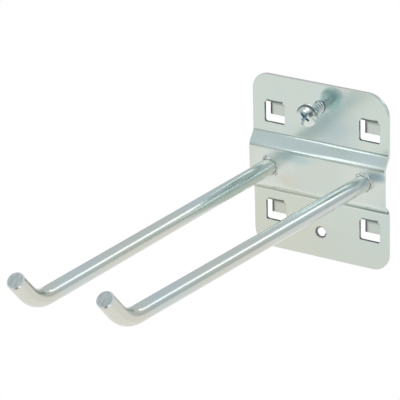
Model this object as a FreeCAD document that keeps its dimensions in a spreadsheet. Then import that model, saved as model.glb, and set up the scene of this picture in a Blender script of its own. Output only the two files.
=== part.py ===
"""Double tool hook for a square-hole tool panel, as a parametric document.

Millimetres, +Z up, +X to the right as seen from the front, and the rods reach out towards -Y.
The origin is the middle of the four hanging tabs, in the plane of the plate's back face.
"""
import FreeCAD
import Part
import Sketcher
import math
import os
import re

# Driving sizes, in millimetres and degrees. Each becomes a named cell of the sheet.
SIZES = {
    # The pressed plate.
    "sheet_thickness": 1.25,
    "left_margin": 4.75,
    "right_margin": 3.45,
    "top_margin": 9.15,
    "bottom_margin": 10.6,
    "corner_radius": 6.3,
    "top_right_corner_radius": 8.5,
    # The raised band across the plate's middle.
    "band_margin": 4.05,
    "band_rise": 3.2,
    "slope_height": 3.8,
    "lower_slope_height": 3.5,
    "lower_slope_drop": 0.75,
    "bend_radius": 2.5,
    # The openings and the hanging tabs bent out of them.
    "hook_pitch": 38.0,
    "opening_width": 8.2,
    "opening_drop": 4.25,
    "opening_bottom_radius": 0.8,
    "slot_rise": 3.5,
    "slot_top_radius": 0.8,
    "tab_side_gap": 0.85,
    "tab_gap": 1.6,
    "tab_ledge_rise": 3.05,
    "tab_end_drop": 2.3,
    "tab_bend_radius": 0.6,
    # The two tapped holes on the plate's centre line.
    "upper_hole_inset": 8.65,
    "lower_hole_inset": 9.95,
    "thread_clearance": 0.06,
    # The rods.
    "rod_diameter": 6.0,
    "rod_spacing": 38.0,
    "left_rod_height": -0.8,
    "right_rod_height": 0.4,
    "rod_straight_length": 143.3,
    "rod_rise_angle": 4.4,
    "left_rod_toe_angle": 0.95,
    "right_rod_toe_angle": 0.88,
    "rod_bend_angle": 45.0,
    "rod_bend_radius": 17.0,
    "rod_tip_straight": 8.5,
    "rod_tip_chamfer": 0.4,
    # The weld beads round the rods' feet.
    "weld_leg": 1.0,
    "weld_lip": 0.25,
    # The lock screw, as far out as the photograph shows it.
    "screw_diameter": 4.0,
    "screw_length": 10.0,
    "screw_tip_proud": 0.9,
    "screw_point_chamfer": 0.6,
    "head_diameter": 8.0,
    "head_height": 3.0,
    "head_dome_rise": 1.3,
    "head_edge_radius": 0.5,
    "recess_span": 4.4,
    "recess_wing": 0.9,
    "recess_depth": 1.8,
    "recess_turn": 38.0,
}

# Places that several pieces share, worked out from the sizes. Openings have margins to the plate's
# edges and to the raised band, and the rods and holes keep to the plate's own centre line.
TAB_BEND_OUTER = "(tab_bend_radius + sheet_thickness)"
OPENING_SIDE = "hook_pitch / 2 + opening_width / 2"
OPENING_TOP = "hook_pitch / 2 + tab_ledge_rise + %s" % TAB_BEND_OUTER
PLATE_LEFT = "-(%s + left_margin)" % OPENING_SIDE
PLATE_RIGHT = "(%s + right_margin)" % OPENING_SIDE
PLATE_TOP = "(%s + top_margin)" % OPENING_TOP
PLATE_BOTTOM = "-(hook_pitch / 2 + opening_drop + bottom_margin)"
CENTRE_LINE = "(right_margin - left_margin) / 2"
FLAT_EDGE = "(hook_pitch / 2 - opening_drop - band_margin)"
BAND_EDGE = "(%s - slope_height)" % FLAT_EDGE
LOWER_FLAT_EDGE = "(%s + lower_slope_drop)" % FLAT_EDGE
LOWER_BAND_EDGE = "(%s - lower_slope_height)" % LOWER_FLAT_EDGE
BAND_FRONT = "-(sheet_thickness + band_rise)"
SLOPE_ANGLE = "atan(band_rise / slope_height)"
LOWER_SLOPE_ANGLE = "atan(band_rise / lower_slope_height)"
UPPER_HOLE = "(%s - upper_hole_inset)" % PLATE_TOP
LOWER_HOLE = "(%s + lower_hole_inset)" % PLATE_BOTTOM
HOLE_RADIUS = "(screw_diameter / 2 + thread_clearance)"
SCREW_SEAT = "(screw_tip_proud - screw_length)"
ROD_RADIUS = "rod_diameter / 2"
WASTE_HALF = "2 * rod_diameter"

doc = FreeCAD.newDocument("ToolHook")
sheet = doc.addObject("Spreadsheet::Sheet", "Sizes")


def fill_sheet():
    """Writes each driving size into the sheet as a cell with its name."""
    for row, (name, number) in enumerate(SIZES.items(), start=1):
        sheet.set("A%d" % row, name)
        sheet.set("B%d" % row, str(number))
        sheet.setAlias("B%d" % row, name)
    doc.recompute()


def cells(text):
    """Turns size names in a formula into references to the sheet's cells."""
    return re.sub(r"[a-z_]+", lambda word: ("Sizes." if word[0] in SIZES else "") + word[0], text)


def value(text):
    """Works a formula of size names out to a plain number."""
    return float(sheet.evalExpression(cells(text)))


def bind(thing, field, text):
    """Ties one property of an object to a formula of size names."""
    thing.setExpression(field, cells(text))


def place(thing, across, back, up, turn="rotation(0; 0; 0)"):
    """Ties an object's placement to formulas for its position and its turn."""
    bind(thing, "Placement", "placement(vector(%s; %s; %s); %s)" % (across, back, up, turn))


def origin_feature(body, role):
    """Finds one of a body's own origin planes or axes."""
    return next(item for item in body.Origin.OriginFeatures if item.Role == role)


def new_sketch(body, name, role, offset="0", turn="0"):
    """Makes a sketch on a body's origin plane, moved along the plane's normal and turned in it."""
    sketch = body.newObject("Sketcher::SketchObject", name)
    sketch.AttachmentSupport = [(origin_feature(body, role), "")]
    sketch.MapMode = "FlatFace"
    bind(sketch, "AttachmentOffset",
         "placement(vector(0; 0; %s); rotation(vector(0; 0; 1); %s))" % (offset, turn))
    return sketch


def constrain(sketch, text, *terms):
    """Adds one sized constraint and ties it to a formula."""
    number = sketch.addConstraint(Sketcher.Constraint(*terms, value(text)))
    bind(sketch, "Constraints[%d]" % number, text)


def pin(sketch, geometry, point, across, up):
    """Fixes one sketch point at formulas for its two coordinates."""
    constrain(sketch, across, "DistanceX", -1, 1, geometry, point)
    constrain(sketch, up, "DistanceY", -1, 1, geometry, point)


def arc_piece(start, end, radius, turn):
    """The shorter arc from start to end, anticlockwise for turn 1 and clockwise for turn -1."""
    chord = end - start
    height = math.sqrt(max(radius ** 2 - chord.Length ** 2 / 4, 0))
    square = FreeCAD.Vector(-chord.y, chord.x, 0).normalize()
    centre = (start + end) / 2 + square * height * turn
    first, last = (start, end) if turn > 0 else (end, start)
    angles = [math.atan2(p.y - centre.y, p.x - centre.x) for p in (first, last)]
    circle = Part.Circle(centre, FreeCAD.Vector(0, 0, 1), radius)
    return Part.ArcOfCircle(circle, angles[0], angles[1])


def outline(sketch, corners):
    """Draws a closed loop. A corner is (across, up) or (across, up, radius, turn) for an arc after it."""
    first = sketch.GeometryCount
    points = [FreeCAD.Vector(value(corner[0]), value(corner[1]), 0) for corner in corners]
    ends = []
    for index, corner in enumerate(corners):
        start, end = points[index], points[(index + 1) % len(points)]
        if len(corner) == 2:
            sketch.addGeometry(Part.LineSegment(start, end))
            ends.append((1, 2))
        else:
            radius, turn = corner[2:]
            sketch.addGeometry(arc_piece(start, end, value(radius), turn))
            ends.append((1, 2) if turn > 0 else (2, 1))
    for index, corner in enumerate(corners):
        after = (index + 1) % len(corners)
        sketch.addConstraint(Sketcher.Constraint(
            "Coincident", first + index, ends[index][1], first + after, ends[after][0]))
        pin(sketch, first + index, ends[index][0], corner[0], corner[1])
        if len(corner) == 4:
            constrain(sketch, corner[2], "Radius", first + index)


def round_hole(sketch, across, up, radius):
    """Draws a circle at formulas for its centre and radius."""
    circle = Part.Circle(FreeCAD.Vector(value(across), value(up), 0), FreeCAD.Vector(0, 0, 1), value(radius))
    number = sketch.addGeometry(circle)
    pin(sketch, number, 3, across, up)
    constrain(sketch, radius, "Radius", number)


def round_edges(body, name, radius, wanted):
    """Fillets the edges of the body so far whose middle and direction satisfy wanted."""
    doc.recompute()
    base = body.Tip
    names = []
    for number, edge in enumerate(base.Shape.Edges, start=1):
        middle = edge.valueAt((edge.FirstParameter + edge.LastParameter) / 2)
        if wanted(middle, edge):
            names.append("Edge%d" % number)
    fillet = body.newObject("PartDesign::Fillet", name)
    fillet.Base = (base, names)
    bind(fillet, "Radius", radius)


def near(number, text):
    """Tells whether a number is the value of a formula."""
    return abs(number - value(text)) < 1e-4


def runs_back(edge):
    """Tells whether an edge is straight and runs along Y."""
    start, end = edge.Vertexes[0].Point, edge.Vertexes[-1].Point
    return abs(abs(end.y - start.y) - (end - start).Length) < 1e-6


def new_body(label):
    """Makes a body that carries its sub-part's name."""
    body = doc.addObject("PartDesign::Body", label)
    body.Label = label
    return body


def crease(across, up, arriving, leaving, turn, angle):
    """The two ends of a fold's arc about its sharp corner, the outer face's radius where turn is 1."""
    radius = "(bend_radius + sheet_thickness)" if turn > 0 else "bend_radius"
    cut = "%s * tan(%s / 2)" % (radius, angle)
    before = ["%s - (%s) * %s" % (place_now, step, cut) for place_now, step in zip((across, up), arriving)]
    after = ["%s + (%s) * %s" % (place_now, step, cut) for place_now, step in zip((across, up), leaving)]
    return [(before[0], before[1], radius, turn), (after[0], after[1])]


def plate_section():
    """The plate's side section: down the front face and up the back face, with a fold at each crease."""
    upper, lower = SLOPE_ANGLE, LOWER_SLOPE_ANGLE
    behind, behind_low = ("sheet_thickness * tan(%s / 2)" % angle for angle in (upper, lower))
    down, up = ("0", "-1"), ("0", "1")
    down_out, down_in = ("-sin(%s)" % upper, "-cos(%s)" % upper), ("sin(%s)" % lower, "-cos(%s)" % lower)
    up_out, up_in = ("-sin(%s)" % lower, "cos(%s)" % lower), ("sin(%s)" % upper, "cos(%s)" % upper)
    front, back = "-sheet_thickness", "0"
    band_front, band_back = BAND_FRONT, "-band_rise"
    corners = [(front, PLATE_TOP)]
    corners += crease(front, FLAT_EDGE, down, down_out, -1, upper)
    corners += crease(band_front, BAND_EDGE, down_out, down, 1, upper)
    corners += crease(band_front, "-" + LOWER_BAND_EDGE, down, down_in, 1, lower)
    corners += crease(front, "-" + LOWER_FLAT_EDGE, down_in, down, -1, lower)
    corners += [(front, PLATE_BOTTOM), (back, PLATE_BOTTOM)]
    corners += crease(back, "-%s + %s" % (LOWER_FLAT_EDGE, behind_low), up, up_out, 1, lower)
    corners += crease(band_back, "-%s + %s" % (LOWER_BAND_EDGE, behind_low), up_out, up, -1, lower)
    corners += crease(band_back, "%s - %s" % (BAND_EDGE, behind), up, up_in, -1, upper)
    corners += crease(back, "%s - %s" % (FLAT_EDGE, behind), up_in, up, 1, upper)
    corners += [(back, PLATE_TOP)]
    return corners


def tab_section(middle):
    """A hanging tab's side section: out of the plate at the top, back over a ledge and down behind."""
    ledge = "%s + tab_ledge_rise" % middle
    end = "%s - tab_end_drop" % middle
    inner = "tab_bend_radius"
    root = "%s + %s" % (ledge, TAB_BEND_OUTER)
    return [
        ("0", root),
        ("-sheet_thickness", root, TAB_BEND_OUTER, 1),
        ("tab_bend_radius", ledge),
        ("tab_gap - tab_bend_radius", ledge, inner, -1),
        ("tab_gap", "%s - tab_bend_radius" % ledge),
        ("tab_gap", end),
        ("tab_gap + sheet_thickness", end),
        ("tab_gap + sheet_thickness", "%s - tab_bend_radius" % ledge, TAB_BEND_OUTER, 1),
        ("tab_gap - tab_bend_radius", "%s + sheet_thickness" % ledge),
        ("tab_bend_radius", "%s + sheet_thickness" % ledge, inner, -1),
    ]


def opening_corners(across, middle):
    """One square opening with a slot up each side of its tab, and the tab's own width cut up to its bend."""
    left, right = "%s - opening_width / 2" % across, "%s + opening_width / 2" % across
    tab_left, tab_right = left + " + tab_side_gap", right + " - tab_side_gap"
    bottom = "%s - opening_drop" % middle
    slot_top = "%s + slot_rise" % middle
    top = "%s + tab_ledge_rise + %s" % (middle, TAB_BEND_OUTER)
    return [(left, bottom), (right, bottom), (right, slot_top), (tab_right, slot_top),
            (tab_right, top), (tab_left, top), (tab_left, slot_top), (left, slot_top)]


def make_back_plate():
    """The pressed plate: folded section, rounded corners, openings, tapped holes and tabs."""
    body = new_body("back_plate")
    section = new_sketch(body, "PlateSection", "YZ_Plane", CENTRE_LINE)
    outline(section, plate_section())
    sheet_pad = body.newObject("PartDesign::Pad", "PlateSheet")
    sheet_pad.Profile = section
    sheet_pad.SideType = "Symmetric"
    bind(sheet_pad, "Length", "%s - %s" % (PLATE_RIGHT, PLATE_LEFT))

    def at_corner(middle, edge):
        at_side = near(middle.x, PLATE_LEFT) or near(middle.x, PLATE_RIGHT)
        at_end = near(middle.z, PLATE_TOP) or near(middle.z, PLATE_BOTTOM)
        return at_side and at_end and runs_back(edge)

    def at_top_right(middle):
        return middle.x > 0 and middle.z > 0

    round_edges(body, "TopRightCorner", "top_right_corner_radius",
                lambda middle, edge: at_corner(middle, edge) and at_top_right(middle))
    round_edges(body, "OtherCorners", "corner_radius",
                lambda middle, edge: at_corner(middle, edge) and not at_top_right(middle))

    cuts = new_sketch(body, "PlateCuts", "XZ_Plane")
    sides = ("-hook_pitch / 2", "hook_pitch / 2")
    for across in sides:
        for middle in sides:
            outline(cuts, opening_corners(across, middle))
    round_hole(cuts, CENTRE_LINE, UPPER_HOLE, HOLE_RADIUS)
    round_hole(cuts, CENTRE_LINE, LOWER_HOLE, HOLE_RADIUS)
    openings = body.newObject("PartDesign::Pocket", "PlateOpenings")
    openings.Profile = cuts
    openings.Type = "ThroughAll"
    openings.SideType = "Symmetric"

    def at_opening(middle, edge, above):
        across = abs(abs(middle.x) - value("hook_pitch / 2"))
        up = middle.z - math.copysign(value("hook_pitch / 2"), middle.z)
        return near(across, "opening_width / 2") and runs_back(edge) and (up > 0) == above

    round_edges(body, "SlotTops", "slot_top_radius",
                lambda middle, edge: at_opening(middle, edge, True))
    round_edges(body, "OpeningBottoms", "opening_bottom_radius",
                lambda middle, edge: at_opening(middle, edge, False))

    tabs = new_sketch(body, "TabSections", "YZ_Plane", "-hook_pitch / 2")
    for middle in sides:
        outline(tabs, tab_section(middle))
    tab_pad = body.newObject("PartDesign::Pad", "LeftTabs")
    tab_pad.Profile = tabs
    tab_pad.SideType = "Symmetric"
    bind(tab_pad, "Length", "opening_width - 2 * tab_side_gap")
    doc.recompute()
    both = body.newObject("PartDesign::LinearPattern", "AllTabs")
    both.Originals = [tab_pad]
    both.Direction = (origin_feature(body, "X_Axis"), [""])
    both.Occurrences = 2
    bind(both, "Length", "hook_pitch")
    body.Tip = both
    return body


def make_rod(side, sign):
    """One bent rod, cut flush where its foot meets the raised band."""
    foot_across = "(%s + %d * rod_spacing / 2)" % (CENTRE_LINE, sign)
    foot_up = side + "_rod_height"
    tip_back = "(-rod_straight_length - rod_bend_radius * sin(rod_bend_angle))"
    tip_up = "(rod_bend_radius * (1 - cos(rod_bend_angle)))"
    tip_run = "(rod_tip_straight - rod_tip_chamfer)"
    along_front = "rotation(vector(1; 0; 0); 90)"
    along_tip = "rotation(vector(1; 0; 0); 90 - rod_bend_angle)"

    shank = doc.addObject("Part::Cylinder", side + "_rod_shank")
    bind(shank, "Radius", ROD_RADIUS)
    bind(shank, "Height", "rod_straight_length + rod_diameter")
    place(shank, "0", "rod_diameter", "0", along_front)

    bend = doc.addObject("Part::Torus", side + "_rod_bend")
    bind(bend, "Radius1", "rod_bend_radius")
    bind(bend, "Radius2", ROD_RADIUS)
    bind(bend, "Angle3", "rod_bend_angle")
    place(bend, "0", "-rod_straight_length", "rod_bend_radius", "rotation(180; 90; 0)")

    tip = doc.addObject("Part::Cylinder", side + "_rod_tip")
    bind(tip, "Radius", ROD_RADIUS)
    bind(tip, "Height", tip_run)
    place(tip, "0", tip_back, tip_up, along_tip)

    end = doc.addObject("Part::Cone", side + "_rod_end")
    bind(end, "Radius1", ROD_RADIUS)
    bind(end, "Radius2", ROD_RADIUS + " - rod_tip_chamfer")
    bind(end, "Height", "rod_tip_chamfer")
    place(end, "0", "%s - %s * cos(rod_bend_angle)" % (tip_back, tip_run),
          "%s + %s * sin(rod_bend_angle)" % (tip_up, tip_run), along_tip)

    bar = doc.addObject("Part::MultiFuse", side + "_rod_bar")
    bar.Shapes = [shank, bend, tip, end]
    bar.Refine = True
    place(bar, foot_across, BAND_FRONT, foot_up,
          "rotation(%d * %s_rod_toe_angle; 0; -rod_rise_angle)" % (-sign, side))

    waste = doc.addObject("Part::Box", side + "_rod_waste")
    for field in ("Length", "Width", "Height"):
        bind(waste, field, "2 * " + WASTE_HALF)
    place(waste, "%s - %s" % (foot_across, WASTE_HALF), BAND_FRONT, "%s - %s" % (foot_up, WASTE_HALF))

    rod = doc.addObject("Part::Cut", side + "_rod")
    rod.Base = bar
    rod.Tool = waste
    rod.Label = side + "_rod"
    return rod


def make_weld_bead(side, sign, rod):
    """The ring of weld metal round a rod's foot, hollowed by the rod itself."""
    ring = doc.addObject("Part::Cone", side + "_weld_ring")
    bind(ring, "Radius1", ROD_RADIUS + " + weld_leg")
    bind(ring, "Radius2", ROD_RADIUS + " + weld_lip")
    bind(ring, "Height", "weld_leg")
    place(ring, "%s + %d * rod_spacing / 2" % (CENTRE_LINE, sign), BAND_FRONT, side + "_rod_height",
          "rotation(vector(1; 0; 0); 90)")
    bead = doc.addObject("Part::Cut", side + "_weld_bead")
    bead.Base = ring
    bead.Tool = rod
    bead.Label = side + "_weld_bead"
    return bead


def make_lock_screw():
    """The pan-head screw in the upper hole, with its cross recess; the thread is left plain."""
    body = new_body("lock_screw")
    place(body, CENTRE_LINE, SCREW_SEAT, UPPER_HOLE)
    radius, rim = "screw_diameter / 2", "head_diameter / 2"
    shoulder = "-(head_height - head_dome_rise)"
    dome = "(head_dome_rise + (%s) ^ 2 / head_dome_rise) / 2" % rim
    profile = new_sketch(body, "ScrewProfile", "YZ_Plane")
    outline(profile, [
        ("-head_height", "0"),
        ("screw_length", "0"),
        ("screw_length", radius + " - screw_point_chamfer"),
        ("screw_length - screw_point_chamfer", radius),
        ("0", radius),
        ("0", rim),
        (shoulder, rim, dome, 1),
    ])
    turned = body.newObject("PartDesign::Revolution", "ScrewTurned")
    turned.Profile = profile
    turned.ReferenceAxis = (profile, ["H_Axis"])
    turned.Angle = 360
    round_edges(body, "HeadEdge", "head_edge_radius",
                lambda middle, edge: near(middle.y, shoulder))

    cross = new_sketch(body, "RecessCross", "XZ_Plane", "head_height", "recess_turn")
    arm, half = "recess_span / 2", "recess_wing / 2"
    quarter = [(half, arm), (half, half), (arm, half)]
    corners = []
    for sign_across, sign_up in ((1, 1), (1, -1), (-1, -1), (-1, 1)):
        points = [("%d * %s" % (sign_across, a), "%d * %s" % (sign_up, b)) for a, b in quarter]
        corners += points if sign_across == sign_up else points[::-1]
    outline(cross, corners)
    recess = body.newObject("PartDesign::Pocket", "Recess")
    recess.Profile = cross
    bind(recess, "Length", "recess_depth")
    return body


def make_parts():
    """Makes every sub-part, each an object whose label is its node's name."""
    parts = [make_back_plate()]
    for side, sign in (("left", -1), ("right", 1)):
        rod = make_rod(side, sign)
        parts += [rod, make_weld_bead(side, sign, rod)]
    parts.append(make_lock_screw())
    return parts


def check(parts):
    """Stops unless every object was worked out and every sub-part is one valid solid."""
    for thing in doc.Objects:
        failed = {"Invalid", "Error"} & set(thing.State)
        if failed:
            raise RuntimeError("%s is %s" % (thing.Label, failed))
    for part in parts:
        shape = part.Shape
        if shape.isNull() or not shape.isValid() or len(shape.Solids) != 1:
            raise RuntimeError("%s is not one valid solid" % part.Label)


fill_sheet()
finished = make_parts()
doc.recompute()
check(finished)
os.makedirs("parts", exist_ok=True)
for part in finished:
    part.Shape.exportStep("parts/%s.step" % part.Label)
    print(part.Label, "volume", round(part.Shape.Volume, 2))
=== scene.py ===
"""Looks of a zinc-plated double tool hook: a pressed plate, two bent rods, their welds and a lock screw."""
import math

import bmesh
import bpy
from mathutils import Matrix, Vector, noise


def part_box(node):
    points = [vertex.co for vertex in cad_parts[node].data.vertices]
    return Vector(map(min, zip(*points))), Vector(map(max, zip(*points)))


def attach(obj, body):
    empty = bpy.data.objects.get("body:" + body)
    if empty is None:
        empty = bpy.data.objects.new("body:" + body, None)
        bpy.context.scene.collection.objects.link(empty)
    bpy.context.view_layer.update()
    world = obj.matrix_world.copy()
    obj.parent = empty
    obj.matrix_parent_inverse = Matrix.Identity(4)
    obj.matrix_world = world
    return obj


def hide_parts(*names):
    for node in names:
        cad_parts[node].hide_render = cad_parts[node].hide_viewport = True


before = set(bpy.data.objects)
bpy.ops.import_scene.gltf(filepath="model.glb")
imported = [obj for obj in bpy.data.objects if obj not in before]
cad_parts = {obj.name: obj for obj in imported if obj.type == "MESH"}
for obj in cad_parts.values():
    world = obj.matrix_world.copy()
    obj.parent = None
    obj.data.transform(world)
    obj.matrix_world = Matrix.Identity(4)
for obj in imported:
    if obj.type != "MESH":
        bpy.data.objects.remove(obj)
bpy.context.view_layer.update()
scene = bpy.context.scene
MM = 0.001
SIDES = ("left", "right")

# Sizes repeated from the part
ROD_STRAIGHT = 143.3 * MM
ROD_RISE = math.radians(4.4)
ROD_TOE = {"left": math.radians(0.95), "right": math.radians(-0.88)}
BEND_RADIUS = 17 * MM
BEND_ANGLE = math.radians(45)
TIP_STRAIGHT = 8.5 * MM
TIP_CHAMFER = 0.4 * MM
SCREW_LENGTH = 10 * MM
HEAD_DOME_RISE = 1.3 * MM
HEAD_HEIGHT = 3 * MM
HEAD_EDGE_RADIUS = 0.5 * MM
RECESS_SPAN = 4.4 * MM
RECESS_WING = 0.9 * MM
RECESS_DEPTH = 1.8 * MM
RECESS_TURN = math.radians(38)
TAB_PLACE = 19 * MM
TAB_HALF = 3.25 * MM
TAB_ROOT = 4.9 * MM
OPENING_HALF = 4.1 * MM
OPENING_DROP = 4.25 * MM
SLOT_RISE = 3.5 * MM
SHEET_FRONT = -1.25 * MM
HOLE_RADIUS = 2.06 * MM
LOWER_HOLE = Vector((-0.65 * MM, SHEET_FRONT, -23.9 * MM))

# Sizes read from the solids
plate_low, plate_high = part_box("back_plate")
BAND_FRONT = plate_low.y
PLATE_TOP = plate_high.z
ROD_FOOT = {}
for side in SIDES:
    low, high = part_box(side + "_weld_bead")
    ROD_FOOT[side] = Vector(((low.x + high.x) / 2, BAND_FRONT, (low.z + high.z) / 2))
ROD_RADIUS = ROD_FOOT["left"].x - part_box("left_rod")[0].x
WELD_RADIUS = ROD_FOOT["left"].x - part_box("left_weld_bead")[0].x
WELD_HEIGHT = BAND_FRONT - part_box("left_weld_bead")[0].y
screw_low, screw_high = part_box("lock_screw")
HEAD_RADIUS = (screw_high.x - screw_low.x) / 2
SCREW_TIP = Vector(((screw_low.x + screw_high.x) / 2, screw_high.y, (screw_low.z + screw_high.z) / 2))
HEAD_SEAT = SCREW_TIP.y - SCREW_LENGTH

# Sizes of the sheet that only the looks have: its rounded rims and the strips drawn in to its tabs
FRONT_RIM_ROUND = 0.2 * MM
BACK_RIM_ROUND = 0.12 * MM
DRAWN_STRIP = 0.275 * MM

# How closely points are matched, and how sheared edges and flats are told from folds
SHEARED_ANGLE = math.radians(40)
MERGE_SPARE = 0.06 * MM
SLIT_SPARE = 0.07 * MM
SLIT_BACK = -0.5 * MM
POINT_SPARE = 0.005 * MM
CUT_SPARE = 0.01 * MM
BROAD_AREA = 30 * MM ** 2
FLAT_ANGLE = 0.02

# Sizes and step counts of the rods, welds and screw that only the looks have
ROD_SEGMENTS = 64
ROD_SPARE = 4 * MM
ROD_COLLAR = 3 * MM
ROD_STRETCHES = (0.02, 0.08, 0.2, 0.3, 0.4)
BEND_STEPS = 14
TIP_SPARE = 0.02 * MM
WELD_SINK = 0.15 * MM
WELD_STEPS = 144
WELD_BOW_STEPS = 8
BROAD_LUMP = 2.4 * MM
FINE_LUMP = 0.9 * MM
LUMP_SEED = 900
HEAD_STEPS = 96
HEAD_EDGE_STEPS = 6
HEAD_DOME_STEPS = 12
HEAD_FOOT_ROUND = 0.2 * MM
HEAD_FOOT_BEVEL = 0.06 * MM
HEAD_EDGE_DROP = 0.18 * MM
HEAD_WALL_END = 0.15 * MM
DOME_TRIM = 0.13
RECESS_FLOOR = (0.35, 1, 0.75)
RECESS_MOUTH = (1.65, 1, 1.25)
THREAD_RADIUS = 1.98 * MM
THREAD_ROOT = 1.48 * MM
THREAD_PITCH = 1.4 * MM
THREAD_STEPS = 36
THREAD_SINK = 0.3 * MM
POINT_TAPER = 0.6 * MM
HOLE_THREAD_STEPS = 64
HOLE_THREAD_LEAD = 0.45 * MM

# One pitch of the screw's thread: share of the pitch and share of the depth
THREAD_PROFILE = ((0, 0), (0.26, 0), (0.46, 1), (0.58, 1), (0.78, 0), (1, 0))

# Section of the lower hole's thread in millimetres: distance from the hole's axis and depth in the sheet
HOLE_THREAD = ((2.1, 0.15), (1.65, 0.42), (1.65, 0.5), (2.1, 0.77))

# Lumps of each weld: angle and half width in degrees, and height as a share of the weld
WELD_LUMPS = {
    "left": [(100, 30, 0.35), (-45, 15, 0.25), (20, 25, -0.15)],
    "right": [(130, 22, 0.4), (85, 14, 0.4), (60, 12, 0.4), (-10, 25, -0.1)],
}

# Drops of spatter from each rod's foot in millimetres: across, up, out and radius
WELD_SPATTER = {
    "left": [
        (-2.3, 3.2, 0.3, 0.24), (-1.7, 3.6, 0.2, 0.3), (-1.0, 3.3, 0.45, 0.3), (-0.5, 3.7, 0.25, 0.26),
        (0.2, 3.4, 0.35, 0.28), (-1.4, 4.0, 0.05, 0.2), (0.8, 3.5, 0.2, 0.2), (3.1, -2.2, 0.25, 0.26),
        (2.8, -2.8, 0.2, 0.24), (2.4, -3.2, 0.2, 0.2), (3.7, 1.8, 0.1, 0.22),
    ],
    "right": [
        (-0.4, 3.3, 0.5, 0.4), (0.7, 3.25, 0.55, 0.48), (1.4, 3.0, 0.5, 0.34), (-1.6, 3.3, 0.3, 0.26),
        (-2.6, 2.7, 0.3, 0.28), (3.9, 0.7, 0.1, 0.2), (3.9, -0.3, 0.1, 0.22), (3.7, -1.1, 0.1, 0.18),
        (2.7, 1.9, 0.6, 0.3),
    ],
}

# Patches of tint and of painted reflection on the plate in millimetres: middle, half width, half height,
# strength and colour
TINT_AND_REFLECTION_PATCHES = [
    ((-8.8, 4.3), 8, 2.4, 0.58, (0.5, 0.67, 0.7)),
    ((3.0, 27.5), 7, 5, 0.5, (0.74, 0.9, 0.95)),
    ((23.8, 3.5), 4.5, 2.0, 0.72, (0.32, 0.46, 0.57)),
    ((-12, -4.4), 5, 3.2, 0.6, (0.82, 0.78, 0.66)),
]

# Places in the plate's finish
# Middle and reach of the painted blue reflection below the screw
REFLECTION_SPOT = Vector((5.5 * MM, SHEET_FRONT, 16.5 * MM))
REFLECTION_SPOT_REACH = 12 * MM
UPPER_FOLD = 10 * MM
LOWER_FOLD = -10.6 * MM
CLOUD_REACH = 30 * MM
NOISE_ROUGHNESS = 0.55

# Colours of the sheet
GREEN_ZINC = (0.745, 0.83, 0.77)
STRAW_ZINC = (0.79, 0.825, 0.75)
BLUE_ZINC = (0.695, 0.8, 0.8)
LOW_LEFT_ZINC = (0.775, 0.79, 0.675)
LOW_RIGHT_ZINC = (0.66, 0.76, 0.73)
# Painted blue reflection below the screw
PAINTED_REFLECTION_BLUE = (0.48, 0.61, 0.66)
FOLD_SHADE = (0.2, 0.25, 0.24)
# Painted shade over the whole of each tab behind its opening
RECESSED_TAB_SHADE = (0.55, 0.56, 0.5)
TAB_SHADE = (0.13, 0.15, 0.17)
BEND_SHADE = (0.12, 0.15, 0.14)
# Painted light round the welds
WELD_PAINTED_LIGHT = (0.93, 0.97, 0.91)
HOLE_SHADE = (0.2, 0.23, 0.24)
TOP_EDGE_TAN = (0.78, 0.68, 0.6)
WALL_MOUTH = (0.32, 0.32, 0.3)
# Painted shade deeper into the punched walls
WALL_DEEP_SHADE = (0.13, 0.128, 0.115)
WALL_TEAR = (0.36, 0.35, 0.31)

# Colours of the rods and welds
ROD_GREY = (0.69, 0.745, 0.72)
ROD_PALE = (0.73, 0.765, 0.735)
ROD_WARM = (0.755, 0.745, 0.655)
SAWN_GREY = (0.56, 0.6, 0.57)
SAW_LINE = (0.86, 0.87, 0.82)
SAWN_BLOTCH = (0.6, 0.64, 0.6)
CHAMFER_BRIGHT = (0.93, 0.94, 0.92)
CHAMFER_GREY = (0.7, 0.72, 0.7)
WELD_GREY = (0.6, 0.62, 0.57)
WELD_PALE = (0.92, 0.94, 0.89)
# Painted shade in the gap between weld and rod
WELD_GAP_SHADE = (0.12, 0.12, 0.11)
SPATTER_GREY = (0.78, 0.77, 0.7)
# Painted glint on the drops of spatter
SPATTER_PAINTED_GLINT = (0.97, 0.96, 0.92)

# Colours of the screw
SCREW_GREY = (0.72, 0.79, 0.77)
SCREW_PALE = (0.83, 0.87, 0.83)
# Painted light on the seat under the head
SCREW_SEAT_PAINTED_LIGHT = (0.8, 0.98, 1)
THREAD_SHADE = (0.1, 0.11, 0.12)
SHOULDER_SHADE = (0.12, 0.11, 0.11)
RECESS_BLUE = (0.36, 0.56, 0.6)
RECESS_PALE = (0.66, 0.82, 0.85)

# The room
HOOK_MIDDLE = Vector((0, -60 * MM, 0))
FLOOR_LEVEL = -0.6
FLOOR_HALF = 30
FLOOR_MATT = (0.8, 0.8, 0.8)
FLOOR_GREY = (0.83, 0.83, 0.83)
# Painted pool of light on the floor below the hook
FLOOR_PAINTED_LIGHT = (0.9, 0.9, 0.9)
BACKDROP_WHITE = (1, 1, 1)
ROOM_GREY = (0.51, 0.555, 0.57)
SKY_STOPS = [
    (0.0, ROOM_GREY),
    (0.25, (0.57, 0.63, 0.67)),
    (0.6, (0.6, 0.655, 0.71)),
    (1.0, (0.56, 0.61, 0.66)),
]

# The direction over the floor that leads from the camera past the hook
VIEW_ACROSS = -0.53
VIEW_BACK = 0.85

# The camera, fitted to the photograph
CAMERA_PLACE = Vector((434.734, -779.713, 386.238)) * MM
CAMERA_AZIMUTH = math.radians(31.969)
CAMERA_ELEVATION = math.radians(23.973)
CAMERA_ROLL = math.radians(-1.646)
FOCAL_PIXELS = 2746.124
PHOTO_PIXELS = 400
SENSOR_WIDTH = 36


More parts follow.
